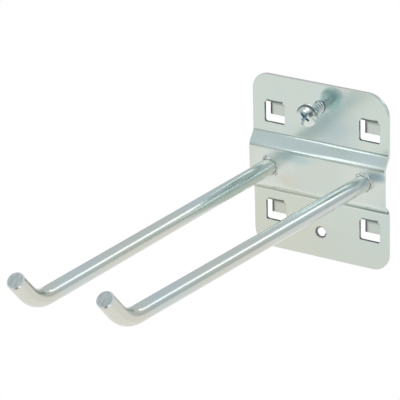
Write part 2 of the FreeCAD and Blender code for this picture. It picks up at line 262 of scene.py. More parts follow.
class Value:
    """A shader socket that can be used in Python expressions."""

    def __init__(self, graph, socket):
        self.graph = graph
        self.socket = socket

    def __add__(self, other):
        return self.graph.maths("ADD", self, other)

    def __radd__(self, other):
        return self.graph.maths("ADD", other, self)

    def __sub__(self, other):
        return self.graph.maths("SUBTRACT", self, other)

    def __rsub__(self, other):
        return self.graph.maths("SUBTRACT", other, self)

    def __mul__(self, other):
        return self.graph.maths("MULTIPLY", self, other)

    def __rmul__(self, other):
        return self.graph.maths("MULTIPLY", other, self)

    def __truediv__(self, other):
        return self.graph.maths("DIVIDE", self, other)

    def __pow__(self, other):
        return self.graph.maths("POWER", self, other)


class Graph:
    """A node tree that is built by expressions."""

    def __init__(self, owner):
        owner.use_nodes = True
        self.owner = owner
        self.tree = owner.node_tree

    def node(self, kind, settings=None, sockets=None, output=0):
        """Adds a node, sets what it is, feeds its sockets and returns one of its outputs."""
        made = self.tree.nodes.new(kind)
        for key, value in (settings or {}).items():
            if key == "stops":
                self.stops(made.color_ramp, value)
            else:
                setattr(made, key, value)
        for key, value in (sockets or {}).items():
            self.feed(made.inputs[key], value)
        return Value(self, made.outputs[output])

    def stops(self, ramp, stops):
        """Gives a colour ramp its stops as pairs of place and colour."""
        while len(ramp.elements) < len(stops):
            ramp.elements.new(1)
        for element, (place, colour) in zip(ramp.elements, stops):
            element.position = place
            element.color = (*colour, 1)

    def feed(self, socket, value):
        """Links a value to a socket, or sets the socket's own number, vector or colour."""
        if isinstance(value, Value):
            self.tree.links.new(value.socket, socket)
        elif socket.type == "RGBA":
            socket.default_value = (*value, 1)
        else:
            socket.default_value = value

    def maths(self, operation, *values):
        """Works on one or two numbers."""
        return self.node("ShaderNodeMath", {"operation": operation}, dict(enumerate(values)))

    def mix(self, share, first, second):
        """Blends two colours."""
        return self.node("ShaderNodeMix", {"data_type": "RGBA"}, {0: share, 6: first, 7: second}, 2)

    def ramp(self, value, low, high):
        """Spreads the stretch from low to high over 0 to 1, with soft ends."""
        return self.node("ShaderNodeMapRange", {"interpolation_type": "SMOOTHSTEP"},
                         {"Value": value, "From Min": low, "From Max": high})

    def parts(self, vector):
        """The three coordinates of a vector."""
        return [self.node("ShaderNodeSeparateXYZ", None, {0: vector}, index) for index in range(3)]

    def length(self, vector):
        """The length of a vector."""
        return self.node("ShaderNodeVectorMath", {"operation": "LENGTH"}, {0: vector}, 1)

    def show(self, share, first, second):
        """Makes a blend of two shaders the surface."""
        self.tree.nodes.remove(self.tree.nodes["Principled BSDF"])
        surface = self.node("ShaderNodeMixShader", None, {0: share, 1: first, 2: second})
        self.feed(self.tree.nodes["Material Output"].inputs["Surface"], surface)


class Finish(Graph):
    """A metal finish for the hook's pieces, in metres of the object's own space."""

    def __init__(self, name):
        super().__init__(bpy.data.materials.new(name))
        self.shader = self.tree.nodes["Principled BSDF"]
        self.place = self.node("ShaderNodeTexCoord", output=3)
        self.across, self.back, self.up = self.parts(self.place)

    def noise(self, grain, detail, stretch=(1, 1, 1), turn=(0, 0, 0), shift=(0, 0, 0)):
        """Noise whose grains are about as large as grain, drawn out where stretch is above 1."""
        scale = tuple(1 / (grain * longer) for longer in stretch)
        place = self.node("ShaderNodeMapping", None,
                          {"Vector": self.place, "Location": shift, "Rotation": turn, "Scale": scale})
        return self.node("ShaderNodeTexNoise", None,
                         {"Vector": place, "Scale": 1.0, "Detail": detail, "Roughness": NOISE_ROUGHNESS})

    def from_point(self, point):
        """The distance from a point."""
        return self.node("ShaderNodeVectorMath", {"operation": "DISTANCE"}, {0: self.place, 1: point}, 1)

    def from_axis(self, point):
        """The distance from the line through a point that runs straight back."""
        return ((self.across - point.x) ** 2 + (self.up - point.z) ** 2) ** 0.5

    def bump(self, height, distance, strength, under=None):
        """Turns a height from 0 to 1 into a relief of that distance, on top of another where there is one."""
        sockets = {"Height": height, "Distance": distance, "Strength": strength}
        if under:
            sockets["Normal"] = under
        return self.node("ShaderNodeBump", None, sockets)

    def metal(self, colour, roughness, normal, metallic=1.0):
        """Joins the values to a metal shader and returns the material."""
        self.feed(self.shader.inputs["Metallic"], metallic)
        self.feed(self.shader.inputs["Base Color"], colour)
        self.feed(self.shader.inputs["Roughness"], roughness)
        self.feed(self.shader.inputs["Normal"], normal)
        return self.owner


def cloudy_sheet(finish, clouds, blue_clouds):
    """The sheet's own colour: a cloudy green-grey, warmer low on the left and greyer low on the right."""
    low_left = finish.ramp(finish.across * -0.6 - finish.up + clouds * CLOUD_REACH, 12 * MM, 50 * MM)
    low_right = finish.ramp(finish.across - finish.up * 0.8 + blue_clouds * CLOUD_REACH, 25 * MM, 60 * MM)
    colour = finish.mix(finish.ramp(clouds, 0.42, 0.72) * 0.5, GREEN_ZINC, STRAW_ZINC)
    colour = finish.mix(finish.ramp(blue_clouds, 0.5, 0.75) * 0.5, colour, BLUE_ZINC)
    colour = finish.mix(low_left * 0.75, colour, LOW_LEFT_ZINC)
    return finish.mix(low_right * 0.35, colour, LOW_RIGHT_ZINC)


def painted_reflection_share(finish, blue_clouds):
    """How much of the painted blue reflection below the screw shows: a cloudy spot that stops at the band."""
    away = finish.from_axis(REFLECTION_SPOT) + (blue_clouds - 0.5) * REFLECTION_SPOT_REACH
    above_band = finish.ramp(finish.up, UPPER_FOLD, UPPER_FOLD + 2 * MM)
    return (1 - finish.ramp(away, 1 * MM, REFLECTION_SPOT_REACH)) * above_band


def fold_share(finish):
    """How dark the lower fold is: most at its middle and towards the right, and not behind the lower flat."""
    above = finish.ramp(finish.up, LOWER_FOLD + 2.0 * MM, LOWER_FOLD + 0.1 * MM) ** 2
    below = finish.ramp(finish.up, LOWER_FOLD - 0.9 * MM, LOWER_FOLD - 0.2 * MM)
    front_side = finish.ramp(finish.back, -0.8 * MM, -1.2 * MM)
    return above * below * front_side * (0.52 + finish.ramp(finish.across, 2 * MM, 24 * MM) * 0.46)


def shade_tabs(finish, colour, in_front):
    """Paints shade on the tabs behind the openings, most at their left edges, their tops and their bends."""
    tab_across = finish.across - finish.maths("SIGN", finish.across) * TAB_PLACE
    tab_up = finish.up - finish.maths("SIGN", finish.up) * TAB_PLACE
    behind = finish.ramp(finish.back, 0.2 * MM, 0.9 * MM)
    # Painted shade over the whole of each tab behind its opening
    colour = finish.mix(behind * 0.4, colour, RECESSED_TAB_SHADE)
    left_edge = finish.ramp(tab_across, -1.6 * MM, -3.2 * MM)
    top = finish.ramp(tab_up, 1.0 * MM, 3.0 * MM)
    right_pair = finish.ramp(finish.across, -10 * MM, 10 * MM)
    shade = behind * in_front * finish.maths("MAXIMUM", left_edge, top) * (0.75 + right_pair * 0.18)
    colour = finish.mix(shade, colour, TAB_SHADE)
    bend = finish.ramp(finish.back, SHEET_FRONT + 0.03 * MM, SHEET_FRONT + 0.2 * MM) * (1 - behind)
    bend = bend * finish.ramp(tab_up, 1.5 * MM, 2 * MM) * (1 - finish.ramp(tab_up, 5 * MM, 5.2 * MM))
    bend = bend * (1 - finish.ramp(finish.maths("ABSOLUTE", tab_across), TAB_HALF, TAB_HALF + 0.3 * MM))
    return finish.mix(bend * in_front * 0.85, colour, BEND_SHADE)


def paint_tint_and_reflection(finish, colour, in_front, blue_clouds):
    """Paints the patches of tint and of reflection on the zinc, with cloudy edges and slanting streaks."""
    streaks = finish.noise(1.3 * MM, 2, stretch=(4, 1, 1), turn=(0, 0.3, 0))
    for middle, wide, tall, strength, tint in TINT_AND_REFLECTION_PATCHES:
        aside = (finish.across - middle[0] * MM) / (wide * MM)
        above = (finish.up - middle[1] * MM) / (tall * MM)
        away = (aside ** 2 + above ** 2) ** 0.5 + (blue_clouds - 0.5) * 0.8
        patch = 1 - finish.ramp(away, 0.2, 1.2)
        colour = finish.mix(patch * in_front * (0.7 + streaks * 0.6) * strength, colour, tint)
    return colour


def shade_hole_rims(finish, colour):
    """Darkens the rims of both holes, most on their upper left."""
    for hole in (LOWER_HOLE, SCREW_TIP):
        lean = finish.ramp(finish.up - finish.across - hole.z + hole.x, -3 * MM, 2 * MM)
        beyond = finish.ramp(finish.from_axis(hole), HOLE_RADIUS + 0.05 * MM, HOLE_RADIUS + 0.5 * MM)
        colour = finish.mix((1 - beyond) * (0.35 + lean * 0.5), colour, HOLE_SHADE)
    return colour


def sheet_zinc():
    """Zinc on pressed sheet: cloudy, with patches of tint and of painted reflection, and faint rolling lines
    along its width.

    It is duller round the welds, with painted light there and a painted blue reflection below the screw,
    and painted shade in the lower fold, on the tabs and round the holes.
    """
    finish = Finish("zinc_on_sheet")
    clouds = finish.noise(16 * MM, 3)
    blue_clouds = finish.noise(11 * MM, 2, shift=(3, 7, 1))
    rolling = finish.noise(0.5 * MM, 2, stretch=(60, 1, 1))
    grains = finish.noise(0.35 * MM, 2)
    waves = finish.noise(9 * MM, 1, shift=(5, 2, 8))
    outward = finish.node("ShaderNodeTexCoord", output=1)
    in_front = 1 - finish.ramp(finish.parts(outward)[1], 0.0, 0.2)
    near_weld = sum(1 - finish.ramp(finish.from_point(foot), 4 * MM, 12 * MM) for foot in ROD_FOOT.values())
    colour = cloudy_sheet(finish, clouds, blue_clouds)
    # Painted blue reflection below the screw
    colour = finish.mix(painted_reflection_share(finish, blue_clouds) * in_front * 0.6, colour, PAINTED_REFLECTION_BLUE)
    colour = finish.mix(fold_share(finish), colour, FOLD_SHADE)
    colour = shade_tabs(finish, colour, in_front)
    # Painted light round the welds, over the shade that the rods and welds cast on the sheet
    colour = finish.mix(finish.maths("MINIMUM", near_weld, 1) * 0.7, colour, WELD_PAINTED_LIGHT)
    # Patches of tint and of painted reflection
    colour = paint_tint_and_reflection(finish, colour, in_front, blue_clouds)
    colour = shade_hole_rims(finish, colour)
    top_edge = finish.ramp(finish.up, PLATE_TOP - 1.55 * MM, PLATE_TOP - 0.45 * MM)
    top_edge = top_edge * finish.ramp(finish.back, SHEET_FRONT, SHEET_FRONT + 0.15 * MM)
    colour = finish.mix(top_edge * 0.8, colour, TOP_EDGE_TAN)
    above_band = finish.ramp(finish.up, UPPER_FOLD, UPPER_FOLD + 4 * MM)
    roughness = 0.17 + clouds * 0.06 + rolling * 0.04 + near_weld * 0.12 - above_band * 0.05
    fine = finish.bump(rolling * 0.6 + grains * 0.4, 0.004 * MM, 0.5)
    normal = finish.bump(waves, 0.04 * MM, 0.5, fine)
    return finish.metal(colour, roughness, normal)


def sheared_zinc():
    """Zinc on the punched walls of the openings: dull and dark, with painted shade deeper in and tearing
    lines through the sheet.
    """
    finish = Finish("zinc_on_punched_walls")
    tears = finish.noise(0.3 * MM, 2, stretch=(1, 5, 1))
    depth = finish.ramp(finish.back, -1.1 * MM, -0.35 * MM)
    # Darker deeper into the wall: painted shade
    colour = finish.mix(depth, WALL_MOUTH, WALL_DEEP_SHADE)
    colour = finish.mix(finish.ramp(tears, 0.4, 0.7) * 0.5, colour, WALL_TEAR)
    roughness = 0.32 + depth * 0.15
    normal = finish.bump(tears, 0.03 * MM, 0.6)
    return finish.metal(colour, roughness, normal)


def rod_zinc():
    """Zinc on drawn rod: a cool grey, warmer along its middle and at the bend, with faint drawing lines."""
    finish = Finish("zinc_on_rod")
    clouds = finish.noise(7 * MM, 3, stretch=(1, 3, 1))
    drawing = finish.noise(0.35 * MM, 2, stretch=(1, 60, 1))
    grains = finish.noise(0.5 * MM, 2)
    along = finish.back
    in_middle = finish.ramp(along, -135 * MM, -105 * MM) * (1 - finish.ramp(along, -85 * MM, -45 * MM))
    at_bend = finish.ramp(along, -139 * MM, -149 * MM) * 1.2
    warm = finish.maths("MAXIMUM", in_middle, at_bend)
    colour = finish.mix(finish.ramp(clouds, 0.35, 0.7), ROD_GREY, ROD_PALE)
    colour = finish.mix(warm * (0.45 + clouds * 0.5), colour, ROD_WARM)
    roughness = 0.15 + clouds * 0.06 + drawing * 0.03
    normal = finish.bump(drawing * 0.5 + grains * 0.5, 0.004 * MM, 0.4)
    return finish.metal(colour, roughness, normal)


def sawn_end_zinc():
    """Zinc over a sawn rod end: duller, with fine pale saw lines across the face."""
    finish = Finish("zinc_on_sawn_end")
    lines = finish.noise(0.26 * MM, 2, stretch=(1, 20, 20), turn=(0.86, 0, 0))
    blotches = finish.noise(1.6 * MM, 2)
    colour = finish.mix(finish.ramp(lines, 0.42, 0.62), SAWN_GREY, SAW_LINE)
    colour = finish.mix(finish.ramp(blotches, 0.4, 0.7) * 0.4, colour, SAWN_BLOTCH)
    roughness = 0.35 + lines * 0.1
    normal = finish.bump(lines, 0.02 * MM, 0.4)
    return finish.metal(colour, roughness, normal)


def chamfer_zinc():
    """Bright zinc on the chamfer round a rod's sawn end, slightly uneven."""
    finish = Finish("zinc_on_chamfer")
    grains = finish.noise(0.6 * MM, 2)
    colour = finish.mix(grains * 0.3, CHAMFER_BRIGHT, CHAMFER_GREY)
    return finish.metal(colour, 0.3, finish.bump(grains, 0.01 * MM, 0.3))


def spatter_glint_zinc():
    """Zinc over drops of spatter: painted white and partly diffuse for their glints, in a cloudy mix with
    grey.
    """
    finish = Finish("zinc_on_spatter")
    glint_speckle = finish.noise(0.4 * MM, 2)
    # Painted glint: the drops are painted white and made partly diffuse
    colour = finish.mix(finish.ramp(glint_speckle, 0.35, 0.6), SPATTER_GREY, SPATTER_PAINTED_GLINT)
    return finish.metal(colour, 0.3, finish.bump(glint_speckle, 0.01 * MM, 0.3), metallic=0.4)


def weld_zinc():
    """Zinc over weld metal: pale on its ripples, greyer between them and with painted shade in the thin gap
    at the rod.
    """
    finish = Finish("zinc_on_weld")
    ripples = finish.noise(1.0 * MM, 3)
    away = finish.maths("MINIMUM", *(finish.from_axis(foot) for foot in ROD_FOOT.values()))
    colour = finish.mix(finish.ramp(ripples, 0.38, 0.65), WELD_GREY, WELD_PALE)
    gap = 1 - finish.ramp(away, ROD_RADIUS + 0.05 * MM, ROD_RADIUS + 0.22 * MM)
    # Painted shade in the gap between weld and rod
    colour = finish.mix(gap * 0.85, colour, WELD_GAP_SHADE)
    roughness = 0.45 - ripples * 0.25
    normal = finish.bump(ripples, 0.05 * MM, 0.5)
    return finish.metal(colour, roughness, normal)


def screw_zinc():
    """Bright zinc on the screw, smoother and bluer than on the sheet.

    It has painted shade at the root of the thread and on the upper side of the head's shoulder,
    and painted pale blue light on its seat under the head.
    """
    finish = Finish("bright_zinc_on_screw")
    clouds = finish.noise(1.6 * MM, 3)
    turning = finish.noise(0.25 * MM, 2, stretch=(1, 0.4, 1))
    back = finish.back
    away = finish.from_axis(SCREW_TIP)
    on_shank = finish.ramp(back, HEAD_SEAT - 0.05 * MM, HEAD_SEAT + 0.05 * MM)
    seat = finish.ramp(back, HEAD_SEAT - 0.25 * MM, HEAD_SEAT - 0.1 * MM) * (1 - on_shank)
    root = on_shank * (1 - finish.ramp(away, THREAD_ROOT + 0.05 * MM, THREAD_ROOT + 0.3 * MM))
    shoulder = finish.ramp(away, HEAD_RADIUS - 0.7 * MM, HEAD_RADIUS - 0.25 * MM)
    shoulder = shoulder * (1 - finish.ramp(back, HEAD_SEAT - 1.3 * MM, HEAD_SEAT - 0.8 * MM))
    upper_side = finish.ramp(finish.up - SCREW_TIP.z, 0, 2 * MM)
    colour = finish.mix(finish.ramp(clouds, 0.35, 0.7), SCREW_GREY, SCREW_PALE)
    # Painted light on the seat under the head
    colour = finish.mix(seat, colour, SCREW_SEAT_PAINTED_LIGHT)
    colour = finish.mix(root * 0.85, colour, THREAD_SHADE)
    colour = finish.mix(shoulder * upper_side * 0.85, colour, SHOULDER_SHADE)
    roughness = 0.1 + clouds * 0.08
    normal = finish.bump(turning * 0.5 + clouds * 0.5, 0.01 * MM, 0.6)
    return finish.metal(colour, roughness, normal)


def recess_zinc():
    """Zinc deep in the cross recess: blue-green and dull."""
    finish = Finish("zinc_in_recess")
    grains = finish.noise(0.5 * MM, 2)
    colour = finish.mix(finish.ramp(grains, 0.4, 0.65), RECESS_BLUE, RECESS_PALE)
    return finish.metal(colour, 0.3 + grains * 0.2, finish.bump(grains, 0.03 * MM, 0.5))


def add_piece(name, shape, finishes, body, node, sharp):
    """Turns a bmesh into the piece that stands for a CAD node and rides on the node's body.

    Edges that turn by more than the sharp angle, in degrees, stay sharp.
    """
    for face in shape.faces:
        face.smooth = True
    mesh = bpy.data.meshes.new(name)
    shape.to_mesh(mesh)
    shape.free()
    mesh.set_sharp_from_angle(angle=math.radians(sharp))
    for finish in finishes:
        mesh.materials.append(finish)
    piece = bpy.data.objects.new(name, mesh)
    scene.collection.objects.link(piece)
    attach(piece, body)
    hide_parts(node)
    return piece


def close_up(shape):
    """Merges a shape's doubles and turns its faces outwards."""
    bmesh.ops.remove_doubles(shape, verts=shape.verts, dist=0.0005 * MM)
    bmesh.ops.recalc_face_normals(shape, faces=shape.faces)


def rim_edges(shape):
    """The edges that only one face or none uses."""
    return [edge for edge in shape.edges if len(edge.link_faces) < 2]


def cut_off(shape, place, way):
    """Cuts a shape by a plane and drops what lies beyond it."""
    everything = shape.verts[:] + shape.edges[:] + shape.faces[:]
    bmesh.ops.bisect_plane(shape, geom=everything, plane_co=place, plane_no=way, clear_outer=True)


def turn_about_y(shape, points, edges, steps):
    """Turns an outline once about the Y axis into a closed shape."""
    bmesh.ops.spin(shape, geom=points + edges, cent=(0, 0, 0), axis=(0, 1, 0), angle=math.tau, steps=steps,
                   use_merge=True)


def chain(shape, points):
    """The edges that join points in a row."""
    return [shape.edges.new(pair) for pair in zip(points, points[1:])]


def at_opening(point, spare):
    """Tells whether a point lies within one of the four punched openings, widened by spare."""
    across = abs(abs(point.x) - TAB_PLACE)
    up = point.z - math.copysign(TAB_PLACE, point.z)
    return across < OPENING_HALF + spare and -OPENING_DROP - spare < up < SLOT_RISE + spare


def skin_from(start):
    """The sheet's faces that are joined to a starting face without crossing a sheared edge."""
    found, waiting = {start}, [start]
    while waiting:
        for edge in waiting.pop().edges:
            for face in edge.link_faces:
                if face not in found and edge.calc_face_angle(math.pi) < SHEARED_ANGLE:
                    found.add(face)
                    waiting.append(face)
    return found


def slit_points(shape, across, up):
    """The points of the slit beside one side of a tab's bend, from its foot to its root."""
    foot = up + SLOT_RISE - SLIT_SPARE
    root = up + TAB_ROOT + SLIT_SPARE
    found = [vert for vert in shape.verts if abs(vert.co.x - across) < SLIT_SPARE
             and vert.co.y < SLIT_BACK and foot < vert.co.z < root]
    return sorted(found, key=lambda vert: vert.co.z)


def shut_slit(shape, across, up, strip):
    """Draws a narrow strip of the sheet beside a tab's bend back to the bend's edge, as bending does.

    A slit whose front isn't one straight edge is left as it is.
    """
    slit = slit_points(shape, across, up)
    front = [vert for vert in slit if vert.co.y < SHEET_FRONT + POINT_SPARE]
    goals = [vert.co.copy() for vert in slit if vert not in front]
    if not goals or not front:
        return
    foot, root = front[0], front[-1]
    if all(edge.other_vert(foot) is not root for edge in foot.link_edges):
        return
    for face in [face for face in shape.faces if all(vert in slit for vert in face.verts)]:
        shape.faces.remove(face)
    flat = [face for face in foot.link_faces if face.normal.y < -0.99]
    parts = {part for face in flat for part in [*face.verts, *face.edges]}
    bmesh.ops.bisect_plane(shape, geom=flat + list(parts), dist=CUT_SPARE, plane_co=(across + strip, 0, 0),
                           plane_no=(1, 0, 0))
    foot.co = goals[0]
    for goal in goals[1:]:
        edge = next(edge for edge in foot.link_edges if edge.other_vert(foot) is root)
        foot = bmesh.utils.edge_split(edge, foot, 0.5)[1]
        foot.co = goal
    bmesh.ops.triangulate(shape, faces=[face for face in shape.faces if len(face.verts) > 3])
    bmesh.ops.remove_doubles(shape, verts=slit_points(shape, across, up), dist=POINT_SPARE)


def shut_slits(shape):
    """Joins the sheet to each tab's bend on both sides."""
    for across in (-TAB_PLACE, TAB_PLACE):
        for up in (-TAB_PLACE, TAB_PLACE):
            shut_slit(shape, across - TAB_HALF, up, -DRAWN_STRIP)
            shut_slit(shape, across + TAB_HALF, up, DRAWN_STRIP)
    bmesh.ops.delete(shape, geom=[edge for edge in shape.edges if not edge.link_faces], context="EDGES")


def round_rim(shape, faces, width):
    """Rounds the sheared rim of one side of the sheet in two steps, as far in as it goes down."""
    faces = list(faces)
    first = 1 - math.sqrt(0.5)
    outer, inner = (
        bmesh.ops.inset_region(shape, faces=faces, thickness=width * share, use_boundary=True)["faces"]
        for share in (first, 1 - first))
    shape.normal_update()
    skin = set(faces) | set(outer) | set(inner)
    within = {vert for face in inner for vert in face.verts}
    moves = {}
    for vert in {vert for face in outer for vert in face.verts}:
        way = sum((face.normal for face in vert.link_faces if face in skin), Vector()).normalized()
        moves[vert] = way * width * (first if vert in within else 1)
    for vert, move in moves.items():
        vert.co -= move


def hole_thread(shape):
    """Adds the turn of thread that stands in the lower hole."""
    points = [shape.verts.new(LOWER_HOLE + Vector((across * MM, back * MM, 0)))
              for across, back in HOLE_THREAD]
    edges = chain(shape, points + points[:1])
    made = bmesh.ops.spin(shape, geom=points + edges, cent=LOWER_HOLE, axis=(0, 1, 0), angle=math.tau,
                          steps=HOLE_THREAD_STEPS, dvec=(0, HOLE_THREAD_LEAD / HOLE_THREAD_STEPS, 0))
    ends = [shape.faces.new(points)]
    ends.append(shape.faces.new([part for part in made["geom_last"] if isinstance(part, bmesh.types.BMVert)]))
    turn = list({face for point in points for face in point.link_faces} | set(ends))
    grown = set(turn)
    while turn:
        turn = [near for face in turn for edge in face.edges for near in edge.link_faces if near not in grown]
        grown.update(turn)
    for face in grown:
        face.material_index = 1
    bmesh.ops.recalc_face_normals(shape, faces=list(grown))


def pressed_plate(finishes):
    """The plate's own sheet with its sheared rims rounded and its lower hole threaded."""
    shape = bmesh.new()
    shape.from_mesh(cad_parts["back_plate"].data)
    bmesh.ops.remove_doubles(shape, verts=shape.verts, dist=MERGE_SPARE)
    bmesh.ops.recalc_face_normals(shape, faces=shape.faces)
    shut_slits(shape)
    shape.normal_update()
    by_way = sorted(shape.faces, key=lambda face: face.normal.y * face.calc_area())
    front, back = skin_from(by_way[0]), skin_from(by_way[-1])
    for face in shape.faces:
        middle = face.calc_center_median()
        in_hole = math.hypot(middle.x - LOWER_HOLE.x, middle.z - LOWER_HOLE.z) < HOLE_RADIUS + 0.1 * MM
        if face not in front and face not in back and (in_hole or at_opening(middle, 0.05 * MM)):
            face.material_index = 1
    round_rim(shape, front, FRONT_RIM_ROUND)
    round_rim(shape, back, BACK_RIM_ROUND)
    hole_thread(shape)
    flatten(add_piece("pressed_plate", shape, finishes, "hook", "back_plate", 60).data)


def flatten(mesh):
    """Gives each corner on a flat of the sheet that flat's own normal, so only folds and rims shade round."""
    flats = []
    for face in mesh.polygons:
        broad = face.area > BROAD_AREA and abs(face.normal.y) > 0.3
        if broad and all(face.normal.angle(flat) > FLAT_ANGLE for flat in flats):
            flats.append(face.normal.copy())
    on_flat = {}
    for face in mesh.polygons:
        for flat in flats:
            if face.normal.angle(flat, 1) < FLAT_ANGLE:
                on_flat.update((vert, flat) for vert in face.vertices)
    mesh.normals_split_custom_set([on_flat.get(loop.vertex_index, (0, 0, 0)) for loop in mesh.loops])


def extend(shape, edges, move, grow=1.0, about=Vector()):
    """Draws the wall on from an open loop of edges, moving and growing the new loop, and returns it."""
    made = bmesh.ops.extrude_edge_only(shape, edges=edges)["geom"]
    verts = [part for part in made if isinstance(part, bmesh.types.BMVert)]
    bmesh.ops.translate(shape, verts=verts, vec=move)
    if grow != 1.0:
        bmesh.ops.scale(shape, verts=verts, vec=(grow, grow, grow), space=Matrix.Translation(-about))
    return [part for part in made if isinstance(part, bmesh.types.BMEdge)]


def bent_rod(side, finishes):
    """A round rod: straight out from the band, bent up near its end and sawn off with a small chamfer."""
    shape = bmesh.new()
    bmesh.ops.create_circle(shape, segments=ROD_SEGMENTS, radius=ROD_RADIUS)
    bmesh.ops.rotate(shape, verts=shape.verts, matrix=Matrix.Rotation(math.radians(90), 3, "X"))
    bmesh.ops.translate(shape, verts=shape.verts, vec=(0, ROD_SPARE, 0))
    loop = extend(shape, shape.edges[:], (0, -ROD_SPARE - ROD_COLLAR, 0))
    for stretch in ROD_STRETCHES:
        loop = extend(shape, loop, (0, -(ROD_STRAIGHT - ROD_COLLAR) * stretch, 0))
    turned = bmesh.ops.spin(shape, geom=loop + list({vert for edge in loop for vert in edge.verts}),
                            cent=(0, -ROD_STRAIGHT, BEND_RADIUS), axis=(-1, 0, 0), angle=BEND_ANGLE,
                            steps=BEND_STEPS)
    loop = [part for part in turned["geom_last"] if isinstance(part, bmesh.types.BMEdge)]
    ahead = Vector((0, -math.cos(BEND_ANGLE), math.sin(BEND_ANGLE)))
    loop = extend(shape, loop, ahead * (TIP_STRAIGHT - TIP_CHAMFER - TIP_SPARE))
    middle = sum((vert.co for edge in loop for vert in edge.verts), Vector()) / (2 * len(loop))
    end = middle + ahead * TIP_CHAMFER
    loop = extend(shape, loop, ahead * TIP_CHAMFER, 1 - TIP_CHAMFER / ROD_RADIUS, end)
    for edge in loop:
        edge.link_faces[0].material_index = 2
    face = bmesh.ops.contextual_create(shape, geom=loop)["faces"][0]
    face.material_index = 1
    foot = ROD_FOOT[side]
    turn = Matrix.Rotation(ROD_TOE[side], 4, "Z") @ Matrix.Rotation(-ROD_RISE, 4, "X")
    bmesh.ops.transform(shape, verts=shape.verts, matrix=Matrix.Translation(foot) @ turn)
    cut_off(shape, foot, (0, 1, 0))
    bmesh.ops.contextual_create(shape, geom=rim_edges(shape))
    close_up(shape)
    piece = add_piece(side + "_bent_rod", shape, finishes, "hook", side + "_rod", 30)
    piece.modifiers.new("even_normals", "WEIGHTED_NORMAL").keep_sharp = True


def weld_swell(place, lumps, foot):
    """How far a point of a weld stands out, as a share of the full weld."""
    broad = noise.noise(place / BROAD_LUMP + foot * LUMP_SEED)
    fine = noise.noise(place / FINE_LUMP)
    swell = 0.5 + 0.3 * broad + 0.1 * fine
    angle = math.atan2(place.z, place.x)
    for where, width, height in lumps:
        apart = (angle - math.radians(where) + math.pi) % math.tau - math.pi
        swell += height * math.exp(-(apart / math.radians(width)) ** 2)
    return max(0.15, min(swell, 1.0))


def weld_ring(side, finishes):
    """A lumpy fillet of weld metal round a rod's foot, with bright drops of spatter on it and beside it."""
    shape = bmesh.new()
    foot = ROD_FOOT[side]
    inner = ROD_RADIUS - WELD_SINK
    leg = WELD_RADIUS - ROD_RADIUS
    profile = [(inner, 0)]
    for step in range(WELD_BOW_STEPS + 1):
        bow = math.radians(90 * step / WELD_BOW_STEPS)
        profile.append((ROD_RADIUS + leg * math.cos(bow), -WELD_HEIGHT * math.sin(bow)))
    profile.append((inner, -WELD_HEIGHT))
    points = [shape.verts.new((across, back, 0)) for across, back in profile]
    turn_about_y(shape, points, chain(shape, points + points[:1]), WELD_STEPS)
    for vert in shape.verts:
        away = math.hypot(vert.co.x, vert.co.z)
        swell = weld_swell(vert.co, WELD_LUMPS[side], foot)
        if away > inner + CUT_SPARE:
            grow = (ROD_RADIUS + (away - ROD_RADIUS) * swell) / away
            vert.co.x *= grow
            vert.co.z *= grow
        vert.co.y *= swell
    close_up(shape)
    for across, up, out, size in WELD_SPATTER[side]:
        drop = Matrix.Translation((across * MM, -out * MM, up * MM)) @ Matrix.Diagonal((1, 0.8, 1, 1))
        for vert in bmesh.ops.create_icosphere(shape, subdivisions=3, radius=size * MM, matrix=drop)["verts"]:
            for face in vert.link_faces:
                face.material_index = 1
    bmesh.ops.translate(shape, verts=shape.verts, vec=foot)
    add_piece(side + "_weld", shape, finishes, "hook", side + "_weld_bead", 80)


def screw_head():
    """The raised head as a closed shape of turning, about the Y axis with its seat at zero."""
    shape = bmesh.new()
    dome = (HEAD_RADIUS ** 2 + HEAD_DOME_RISE ** 2) / (2 * HEAD_DOME_RISE)
    span = math.asin(HEAD_RADIUS / dome) - DOME_TRIM
    corner = HEAD_RADIUS - HEAD_EDGE_RADIUS
    height = HEAD_HEIGHT - HEAD_DOME_RISE - HEAD_EDGE_DROP
    profile = [
        (0, 0),
        (HEAD_RADIUS - HEAD_FOOT_ROUND, 0),
        (HEAD_RADIUS - HEAD_FOOT_BEVEL, HEAD_FOOT_BEVEL),
        (HEAD_RADIUS, HEAD_FOOT_ROUND),
        (HEAD_RADIUS, height - HEAD_WALL_END),
    ]
    for step in range(1, HEAD_EDGE_STEPS):
        turn = (math.pi / 2 - span) * step / HEAD_EDGE_STEPS
        across = corner + HEAD_EDGE_RADIUS * math.cos(turn)
        profile.append((across, height + HEAD_EDGE_RADIUS * math.sin(turn)))
    for step in range(HEAD_DOME_STEPS + 1):
        turn = span * (1 - step / HEAD_DOME_STEPS)
        profile.append((dome * math.sin(turn), HEAD_HEIGHT - dome * (1 - math.cos(turn))))
    points = [shape.verts.new((across, -out, 0)) for across, out in profile]
    turn_about_y(shape, points, chain(shape, points), HEAD_STEPS)
    close_up(shape)
    return shape


def recess_cutter(turn):
    """One tapered bar of the cross recess, twice as deep as the recess and half out of the head."""
    shape = bmesh.new()
    bmesh.ops.create_cube(shape, size=1)
    bmesh.ops.scale(shape, verts=shape.verts, vec=(RECESS_SPAN, 2 * RECESS_DEPTH, RECESS_WING))
    floor = [vert for vert in shape.verts if vert.co.y > 0]
    mouth = [vert for vert in shape.verts if vert.co.y < 0]
    bmesh.ops.scale(shape, verts=floor, vec=RECESS_FLOOR)
    bmesh.ops.scale(shape, verts=mouth, vec=RECESS_MOUTH)
    bmesh.ops.rotate(shape, verts=shape.verts, matrix=Matrix.Rotation(turn, 3, "Y"))
    bmesh.ops.translate(shape, verts=shape.verts, vec=(0, -HEAD_HEIGHT, 0))
    close_up(shape)
    return shape


def passing_object(name, shape, finishes):
    """An object that is only there while the recess is cut."""
    thing = bpy.data.objects.new(name, bpy.data.meshes.new(name))
    for finish in finishes:
        thing.data.materials.append(finish)
    shape.to_mesh(thing.data)
    shape.free()
    scene.collection.objects.link(thing)
    return thing


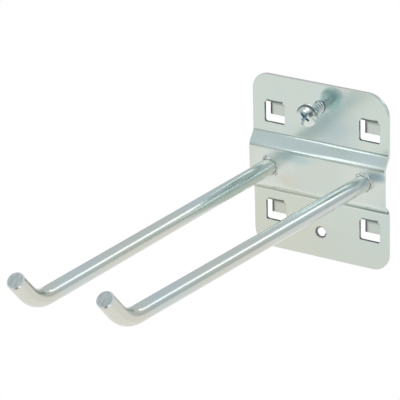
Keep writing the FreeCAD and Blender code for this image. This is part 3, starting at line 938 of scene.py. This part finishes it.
def cut_recess(shape, finishes):
    """Cuts the cross recess into the head; the recess's faces take the second finish."""
    head = passing_object("head", shape, finishes)
    spent = [head]
    for turn in (RECESS_TURN, RECESS_TURN + math.pi / 2):
        bar = passing_object("bar", recess_cutter(turn), finishes)
        spent.append(bar)
        for face in bar.data.polygons:
            face.material_index = 1
        cut = head.modifiers.new("recess", "BOOLEAN")
        cut.object = bar
        cut.operation = "DIFFERENCE"
        cut.solver = "EXACT"
    mesh = bpy.data.meshes.new_from_object(head.evaluated_get(bpy.context.evaluated_depsgraph_get()))
    cut_shape = bmesh.new()
    cut_shape.from_mesh(mesh)
    for thing in spent:
        bpy.data.objects.remove(thing)
    bpy.data.meshes.remove(mesh)
    return cut_shape


def threaded_shank():
    """The shank with its thread drawn as one helix, capped at both ends, with its seat at zero."""
    shape = bmesh.new()
    depth = THREAD_RADIUS - THREAD_ROOT
    points = [shape.verts.new((THREAD_ROOT + depth * out, THREAD_PITCH * along - 2 * THREAD_PITCH, 0))
              for along, out in THREAD_PROFILE]
    turns = math.ceil(SCREW_LENGTH / THREAD_PITCH) + 4
    rise = (0, THREAD_PITCH / THREAD_STEPS, 0)
    bmesh.ops.spin(shape, geom=points + chain(shape, points), cent=(0, 0, 0), axis=(0, -1, 0),
                   angle=math.tau * turns, steps=THREAD_STEPS * turns, dvec=rise)
    bmesh.ops.remove_doubles(shape, verts=shape.verts, dist=0.002 * MM)
    for end, way in ((-THREAD_SINK, -1), (SCREW_LENGTH, 1)):
        cut_off(shape, (0, end, 0), (0, way, 0))
        rim = [edge for edge in rim_edges(shape)
               if all(abs(vert.co.y - end) < 0.001 * MM for vert in edge.verts)]
        bmesh.ops.contextual_create(shape, geom=rim)
    for vert in shape.verts:
        past = vert.co.y - (SCREW_LENGTH - POINT_TAPER)
        away = math.hypot(vert.co.x, vert.co.z)
        if past > 0 and away > THREAD_RADIUS - past:
            vert.co.x *= (THREAD_RADIUS - past) / away
            vert.co.z *= (THREAD_RADIUS - past) / away
    close_up(shape)
    return shape


def lock_screw(finishes):
    """The lock screw: a raised cross-recess head on a threaded shank."""
    shape = cut_recess(screw_head(), finishes)
    shank = threaded_shank()
    mesh = bpy.data.meshes.new("shank")
    shank.to_mesh(mesh)
    shank.free()
    shape.from_mesh(mesh)
    bpy.data.meshes.remove(mesh)
    bmesh.ops.translate(shape, verts=shape.verts, vec=(SCREW_TIP.x, HEAD_SEAT, SCREW_TIP.z))
    add_piece("lock_screw_threaded", shape, finishes, "lock_screw", "lock_screw", 35)


def photograph_camera():
    """The camera at the photograph's place and angle."""
    level = Vector((math.cos(CAMERA_AZIMUTH), math.sin(CAMERA_AZIMUTH), 0))
    flat = math.cos(CAMERA_ELEVATION)
    toward = Vector((level.y * flat, -level.x * flat, math.sin(CAMERA_ELEVATION)))
    upright = toward.cross(level)
    right = level * math.cos(CAMERA_ROLL) + upright * math.sin(CAMERA_ROLL)
    up = upright * math.cos(CAMERA_ROLL) - level * math.sin(CAMERA_ROLL)
    data = bpy.data.cameras.new("camera")
    data.sensor_width = SENSOR_WIDTH
    data.lens = SENSOR_WIDTH * FOCAL_PIXELS / PHOTO_PIXELS
    data.clip_start = 0.01
    camera = bpy.data.objects.new("camera", data)
    camera.matrix_world = Matrix.Translation(CAMERA_PLACE) @ Matrix((right, up, toward)).transposed().to_4x4()
    scene.collection.objects.link(camera)
    scene.camera = camera


def flat_square(name, half, level=0):
    """A level square mesh about the origin."""
    shape = bmesh.new()
    bmesh.ops.create_grid(shape, x_segments=1, y_segments=1, size=half)
    bmesh.ops.translate(shape, verts=shape.verts, vec=(0, 0, level))
    mesh = bpy.data.meshes.new(name)
    shape.to_mesh(mesh)
    shape.free()
    return mesh


def white_floor():
    """A wide pale floor that fades far off into the room's grey.

    It has a painted pool of light below the hook, and is white on a sheet that lies beyond it as the camera
    sees it.
    """
    mesh = flat_square("floor", FLOOR_HALF, FLOOR_LEVEL)
    paint = Graph(bpy.data.materials.new("white_floor"))
    camera_ray = paint.node("ShaderNodeLightPath", output="Is Camera Ray")
    glossy_ray = paint.node("ShaderNodeLightPath", output="Is Glossy Ray")
    clear_ray = paint.node("ShaderNodeLightPath", output="Is Transmission Ray")
    seen = paint.maths("MAXIMUM", paint.maths("MAXIMUM", camera_ray, glossy_ray), clear_ray)
    place = paint.node("ShaderNodeTexCoord", output=3)
    away = paint.length(place)
    across, back = paint.parts(place)[:2]
    beyond = back * VIEW_BACK + across * VIEW_ACROSS
    beside = paint.maths("ABSOLUTE", across * VIEW_BACK - back * VIEW_ACROSS)
    sheet = paint.ramp(beyond, 0.5, 0.75) * (1 - paint.ramp(beside, 0.3, 0.55))
    below = 1 - paint.ramp(paint.maths("ABSOLUTE", away + FLOOR_LEVEL), 0.1, 0.3)
    colour = paint.mix(paint.ramp(away, 1.8, 6.0), FLOOR_GREY, ROOM_GREY)
    # Painted pool of light on the floor below the hook
    colour = paint.mix(below, colour, FLOOR_PAINTED_LIGHT)
    colour = paint.mix(sheet, colour, BACKDROP_WHITE)
    glow = paint.node("ShaderNodeEmission", None, {"Color": colour, "Strength": 1.0})
    matt = paint.node("ShaderNodeBsdfDiffuse", None, {"Color": FLOOR_MATT})
    paint.show(seen, matt, glow)
    mesh.materials.append(paint.owner)
    floor = bpy.data.objects.new("floor", mesh)
    scene.collection.objects.link(floor)


def facing(toward, distance):
    """The place and turn of something flat that faces the hook from a direction."""
    way = Vector(toward).normalized()
    turn = way.to_track_quat("Z", "Y").to_matrix().to_4x4()
    return Matrix.Translation(HOOK_MIDDLE + way * distance) @ turn


def grey_card(name, toward, distance, width, height, shade):
    """A soft-edged dark card that faces the hook and is seen only in its metal."""
    mesh = flat_square(name, 0.5)
    paint = Graph(bpy.data.materials.new(name))
    away = paint.length(paint.node("ShaderNodeTexCoord", output=3))
    glow = paint.node("ShaderNodeEmission", None, {"Color": shade, "Strength": 1.0})
    clear = paint.node("ShaderNodeBsdfTransparent")
    paint.show(paint.ramp(away, 0.28, 0.5), glow, clear)
    mesh.materials.append(paint.owner)
    card = bpy.data.objects.new(name, mesh)
    card.matrix_world = facing(toward, distance) @ Matrix.Diagonal((width, height, 1, 1))
    card.visible_camera = False
    scene.collection.objects.link(card)


def studio_sky():
    """A soft room: grey at the horizon and a paler grey-blue above."""
    world = Graph(bpy.data.worlds.new("studio"))
    scene.world = world.owner
    way = world.node("ShaderNodeTexCoord", output=0)
    colour = world.node("ShaderNodeValToRGB", {"stops": SKY_STOPS}, {0: world.parts(way)[2]})
    world.feed(world.tree.nodes["Background"].inputs["Color"], colour)


def lamp(name, toward, distance, width, height, brightness):
    """A soft rectangular lamp that faces the hook, of the given brightness."""
    data = bpy.data.lights.new(name, "AREA")
    data.shape = "RECTANGLE"
    data.size = width
    data.size_y = height
    data.energy = brightness * math.pi * width * height
    light = bpy.data.objects.new(name, data)
    light.matrix_world = facing(toward, distance)
    light.visible_camera = False
    scene.collection.objects.link(light)


def studio_lights():
    """A strip behind for the streak along the rods, soft lamps in front and beside, and two dark cards."""
    lamp("strip_behind", (0.33, 0.837, 0.435), 2.0, 0.8, 0.22, 1.35)
    lamp("softbox_left", (-0.26, -0.85, 0.455), 0.9, 0.3, 0.22, 1.2)
    lamp("window_left", (-0.5, -0.84, 0.24), 0.9, 0.28, 0.1, 1.8)
    lamp("softbox_right", (0.54, -0.82, 0.2), 0.9, 0.26, 0.2, 1.2)
    lamp("strip_right", (0.97, -0.13, 0.19), 0.9, 0.12, 0.3, 1.6)
    grey_card("card_in_front", (-0.52, -0.85, -0.08), 1.1, 1.4, 0.34, (0.34, 0.38, 0.4))
    grey_card("card_by_camera", (0.16, -0.98, 0.0), 0.8, 0.5, 0.65, (0.1, 0.12, 0.13))


scene.view_settings.view_transform = "Standard"
photograph_camera()
white_floor()
studio_sky()
studio_lights()
pressed_plate([sheet_zinc(), sheared_zinc()])
rod_finishes = [rod_zinc(), sawn_end_zinc(), chamfer_zinc()]
for side in SIDES:
    bent_rod(side, rod_finishes)
weld_finishes = [weld_zinc(), spatter_glint_zinc()]
for side in SIDES:
    weld_ring(side, weld_finishes)
lock_screw([screw_zinc(), recess_zinc()])

bpy.context.view_layer.update()
